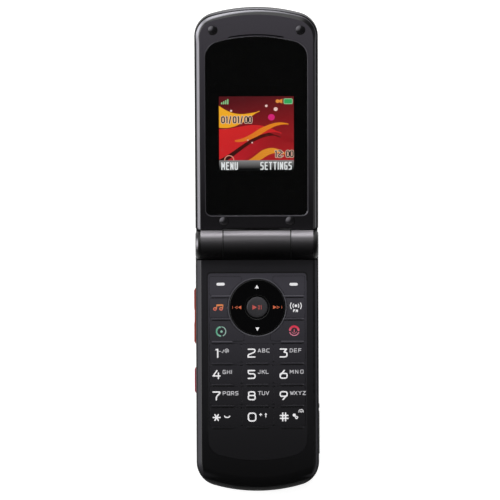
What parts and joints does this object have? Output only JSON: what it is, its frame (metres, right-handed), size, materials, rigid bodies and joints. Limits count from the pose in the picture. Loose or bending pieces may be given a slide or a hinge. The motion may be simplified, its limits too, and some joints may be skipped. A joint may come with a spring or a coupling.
{
  "type": "flip phone",
  "caption": "Black clamshell mobile phone, open, with a small colour screen, number keys and round navigation ring, on a barrel hinge.",
  "frame": {"origin": "middle of the flat back of the keypad half", "axes": "+X to the right, +Y from the keypad half's free end to the hinge, +Z out of the keypad"},
  "size_m": [0.0468, 0.1808, 0.041],
  "materials": {
    "shell_plastic": "fine satin black plastic",
    "frame_plastic": "satin charcoal paint with a shiny bevel",
    "key_sheet": "dark grey sheet with printed signs",
    "gloss_black": "polished black",
    "red_plastic": "brick red plastic",
    "rubber": "soft dark rubber",
    "lens_glass": "clear window with a black printed border",
    "screen": "liquid crystal panel",
    "steel": "pressed steel",
    "board": "green circuit board",
    "battery_wrap": "wrapped cell",
    "gold_contact": "gilt contacts",
    "copper_film": "orange polyimide film",
    "carrier_plastic": "cream plastic"
  },
  "bodies": {
    "base": {"rear_housing": "shell_plastic", "front_housing": "frame_plastic", "keypad_web": "key_sheet", "battery_pack": "battery_wrap", "battery_contacts": "gold_contact", "main_board": "board", "shield_cans": "steel", "dome_sheet": "steel", "loudspeaker": "gloss_black", "microphone": "steel", "vibration_motor": "steel", "antenna": "carrier_plastic", "usb_socket": "steel", "sim_holder": "steel", "memory_card_slot": "steel", "housing_screws": "steel", "side_switches": "steel", "flex_cable": "copper_film"},
    "lid": {"lid_outer_cover": "shell_plastic", "lid_inner_cover": "frame_plastic", "hinge_caps": "gloss_black", "hinge_cartridge": "steel", "hinge_bush": "steel", "display_lens": "lens_glass", "lcd_panel": "screen", "lcd_frame": "steel", "lid_board": "board", "earpiece": "gloss_black", "earpiece_mesh": "steel", "lid_bumpers": "rubber", "lid_screws": "steel", "lid_magnet": "steel"},
    "battery_cover": {"battery_cover": "shell_plastic"},
    "port_cover": {"port_cover": "rubber"},
    "volume_rocker": {"volume_rocker": "red_plastic"},
    "side_key": {"side_key": "red_plastic"},
    "center_key": {"center_key": "gloss_black"},
    "nav_gimbal": {"nav_gimbal": "steel"},
    "nav_ring": {"nav_ring": "gloss_black"},
    "key_1": {"key_1": "key_sheet"},
    "key_2": {"key_2": "key_sheet"},
    "key_3": {"key_3": "key_sheet"},
    "key_4": {"key_4": "key_sheet"},
    "key_5": {"key_5": "key_sheet"},
    "key_6": {"key_6": "key_sheet"},
    "key_7": {"key_7": "key_sheet"},
    "key_8": {"key_8": "key_sheet"},
    "key_9": {"key_9": "key_sheet"},
    "key_star": {"key_star": "key_sheet"},
    "key_0": {"key_0": "key_sheet"},
    "key_hash": {"key_hash": "key_sheet"},
    "softkey_left": {"softkey_left": "key_sheet"},
    "softkey_right": {"softkey_right": "key_sheet"},
    "music_key": {"music_key": "key_sheet"},
    "radio_key": {"radio_key": "key_sheet"},
    "send_key": {"send_key": "key_sheet"},
    "end_key": {"end_key": "key_sheet"}
  },
  "joints": [
    {"name": "lid_hinge", "type": "hinge", "parent": "base", "child": "lid", "pos_m": [0, 0.0435, 0.01025], "axis": [1, 0, 0], "range_deg": [0, 160]},
    {"name": "battery_cover_slide", "type": "slide", "parent": "base", "child": "battery_cover", "axis": [0, -1, 0], "range_m": [0, 0.06]},
    {"name": "port_cover_hinge", "type": "hinge", "parent": "base", "child": "port_cover", "pos_m": [0.0226, -0.0348, 0.0053], "axis": [0, 0, -1], "range_deg": [0, 100]},
    {"name": "volume_rocker_tilt", "type": "hinge", "parent": "base", "child": "volume_rocker", "pos_m": [-0.0225, 0.0163, 0.0053], "axis": [0, 0, 1], "range_deg": [-1.5, 1.5], "stiffness_Nm_per_rad": 0.2},
    {"name": "side_key_press", "type": "slide", "parent": "base", "child": "side_key", "axis": [1, 0, 0], "range_m": [0, 0.00025], "stiffness_N_per_m": 200},
    {"name": "nav_pitch", "type": "hinge", "parent": "base", "child": "nav_gimbal", "pos_m": [0, 0.0199, 0.0089], "axis": [1, 0, 0], "range_deg": [-1, 1], "stiffness_Nm_per_rad": 0.3},
    {"name": "nav_roll", "type": "hinge", "parent": "nav_gimbal", "child": "nav_ring", "pos_m": [0, 0.0199, 0.0089], "axis": [0, 1, 0], "range_deg": [-1, 1], "stiffness_Nm_per_rad": 0.3},
    {"name": "center_key_press", "type": "slide", "parent": "base", "child": "center_key", "axis": [0, 0, -1], "range_m": [0, 0.00025], "stiffness_N_per_m": 200},
    {"name": "key_1_press", "type": "slide", "parent": "base", "child": "key_1", "axis": [0, 0, -1], "range_m": [0, 0.00025], "stiffness_N_per_m": 200},
    {"name": "key_2_press", "type": "slide", "parent": "base", "child": "key_2", "axis": [0, 0, -1], "range_m": [0, 0.00025], "stiffness_N_per_m": 200},
    {"name": "key_3_press", "type": "slide", "parent": "base", "child": "key_3", "axis": [0, 0, -1], "range_m": [0, 0.00025], "stiffness_N_per_m": 200},
    {"name": "key_4_press", "type": "slide", "parent": "base", "child": "key_4", "axis": [0, 0, -1], "range_m": [0, 0.00025], "stiffness_N_per_m": 200},
    {"name": "key_5_press", "type": "slide", "parent": "base", "child": "key_5", "axis": [0, 0, -1], "range_m": [0, 0.00025], "stiffness_N_per_m": 200},
    {"name": "key_6_press", "type": "slide", "parent": "base", "child": "key_6", "axis": [0, 0, -1], "range_m": [0, 0.00025], "stiffness_N_per_m": 200},
    {"name": "key_7_press", "type": "slide", "parent": "base", "child": "key_7", "axis": [0, 0, -1], "range_m": [0, 0.00025], "stiffness_N_per_m": 200},
    {"name": "key_8_press", "type": "slide", "parent": "base", "child": "key_8", "axis": [0, 0, -1], "range_m": [0, 0.00025], "stiffness_N_per_m": 200},
    {"name": "key_9_press", "type": "slide", "parent": "base", "child": "key_9", "axis": [0, 0, -1], "range_m": [0, 0.00025], "stiffness_N_per_m": 200},
    {"name": "key_star_press", "type": "slide", "parent": "base", "child": "key_star", "axis": [0, 0, -1], "range_m": [0, 0.00025], "stiffness_N_per_m": 200},
    {"name": "key_0_press", "type": "slide", "parent": "base", "child": "key_0", "axis": [0, 0, -1], "range_m": [0, 0.00025], "stiffness_N_per_m": 200},
    {"name": "key_hash_press", "type": "slide", "parent": "base", "child": "key_hash", "axis": [0, 0, -1], "range_m": [0, 0.00025], "stiffness_N_per_m": 200},
    {"name": "softkey_left_press", "type": "slide", "parent": "base", "child": "softkey_left", "axis": [0, 0, -1], "range_m": [0, 0.00025], "stiffness_N_per_m": 200},
    {"name": "softkey_right_press", "type": "slide", "parent": "base", "child": "softkey_right", "axis": [0, 0, -1], "range_m": [0, 0.00025], "stiffness_N_per_m": 200},
    {"name": "music_key_press", "type": "slide", "parent": "base", "child": "music_key", "axis": [0, 0, -1], "range_m": [0, 0.00025], "stiffness_N_per_m": 200},
    {"name": "radio_key_press", "type": "slide", "parent": "base", "child": "radio_key", "axis": [0, 0, -1], "range_m": [0, 0.00025], "stiffness_N_per_m": 200},
    {"name": "send_key_press", "type": "slide", "parent": "base", "child": "send_key", "axis": [0, 0, -1], "range_m": [0, 0.00025], "stiffness_N_per_m": 200},
    {"name": "end_key_press", "type": "slide", "parent": "base", "child": "end_key", "axis": [0, 0, -1], "range_m": [0, 0.00025], "stiffness_N_per_m": 200}
  ]
}
